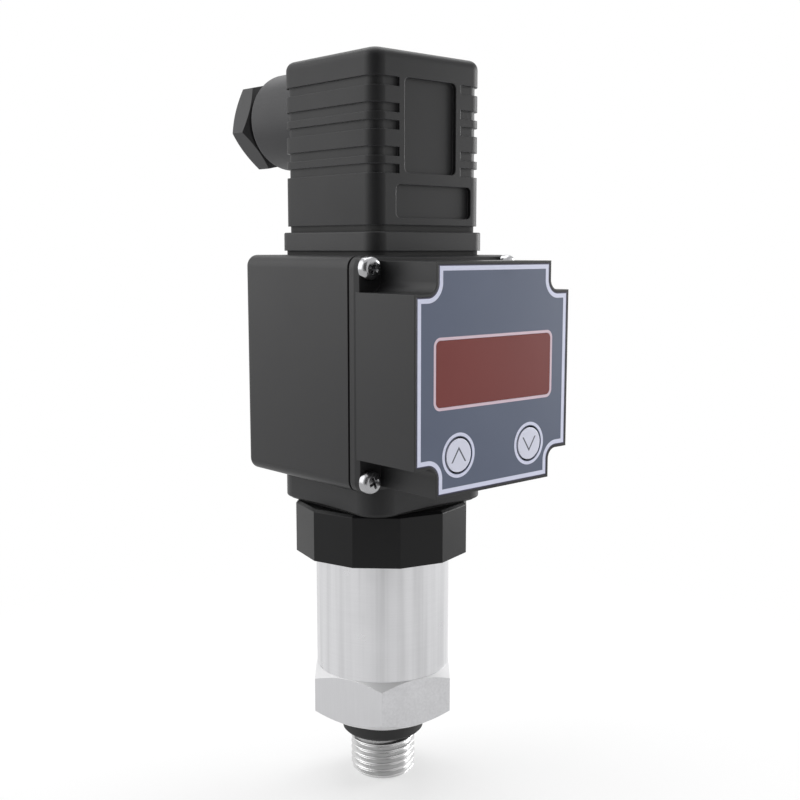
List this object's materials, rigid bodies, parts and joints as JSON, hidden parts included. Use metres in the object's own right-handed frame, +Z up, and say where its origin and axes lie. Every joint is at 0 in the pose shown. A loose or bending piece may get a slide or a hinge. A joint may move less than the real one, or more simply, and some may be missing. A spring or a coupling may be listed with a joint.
{
  "type": "pressure transmitter with plug-in display",
  "caption": "Steel pressure transmitter with a threaded stud and wrench hexagon, carrying a square display head with buttons and an angled plug connector with a cable gland.",
  "frame": {"origin": "on the thread axis, at the underside of the seal ring, where the face of the pressure port sits", "axes": "+Z up the transmitter's axis, the display faces -Y, the cable gland points to +Y"},
  "size_m": [0.0398, 0.0692, 0.1438],
  "materials": {
    "steel": "satin turned stainless steel",
    "black_plastic": "fine matt moulded black",
    "seal_rubber": "matt black",
    "label_film": "satin slate film with a light border",
    "red_window": "dark red filter",
    "button_plastic": "light grey",
    "screw_chrome": "bright plated",
    "screw_steel": "zinc plated",
    "brass": "plain",
    "insulation": "natural",
    "circuit_board": "green lacquer",
    "chip_plastic": "moulded",
    "display_module": "dark grey face"
  },
  "bodies": {
    "transmitter": {"process_fitting": "steel", "seal_ring": "seal_rubber", "sensor_capsule": "steel", "sensor_o_ring": "seal_rubber", "sensor_retainer": "brass", "body_tube": "steel", "board_support_ring": "insulation", "spacer_sleeve": "insulation", "amplifier_board": "circuit_board", "amplifier_chips": "chip_plastic", "plug_base": "black_plastic", "base_blades": "brass", "base_leads": "insulation", "base_insert": "brass", "head_gasket": "seal_rubber", "head_rear_housing": "black_plastic", "head_socket": "black_plastic", "socket_contacts": "brass", "head_leads": "insulation", "guide_tube": "insulation", "cover_gasket": "seal_rubber", "front_cover": "black_plastic", "cover_screws": "screw_chrome", "front_label": "label_film", "display_window": "red_window", "led_display": "display_module", "display_board": "circuit_board", "display_chips": "chip_plastic", "board_screws": "screw_steel", "up_switch": "chip_plastic", "down_switch": "chip_plastic", "flange_gasket": "seal_rubber", "top_plug_base": "black_plastic", "top_blades": "brass", "lock_nut": "black_plastic", "connector_gasket": "seal_rubber", "connector_housing": "black_plastic", "terminal_block": "black_plastic", "terminal_contacts": "brass", "terminal_screws": "screw_steel", "screw_seal": "seal_rubber", "fixing_screw": "screw_steel", "gland_seal": "seal_rubber"},
    "up_button": {"up_button": "button_plastic", "up_plunger": "chip_plastic"},
    "down_button": {"down_button": "button_plastic", "down_plunger": "chip_plastic"},
    "thrust_ring": {"thrust_ring": "black_plastic"},
    "gland_screw": {"gland_screw": "black_plastic"}
  },
  "joints": [
    {"name": "up_button_press", "type": "slide", "parent": "transmitter", "child": "up_button", "axis": [0, 1, 0], "range_m": [0, 0.0004], "stiffness_N_per_m": 500},
    {"name": "down_button_press", "type": "slide", "parent": "transmitter", "child": "down_button", "axis": [0, 1, 0], "range_m": [0, 0.0004], "stiffness_N_per_m": 500},
    {"name": "gland_ring_travel", "type": "slide", "parent": "transmitter", "child": "thrust_ring", "axis": [0, 1, 0], "range_m": [-0.0012, 0.005]},
    {"name": "gland_screw_turn", "type": "hinge", "parent": "thrust_ring", "child": "gland_screw", "pos_m": [0, 0.03, 0.1249], "axis": [0, 1, 0], "range_deg": [-306.5, 1276]}
  ],
  "couplings": [
    {"joint": "gland_screw_turn", "follows": "gland_ring_travel", "rad_per_m": 4452.9}
  ]
}
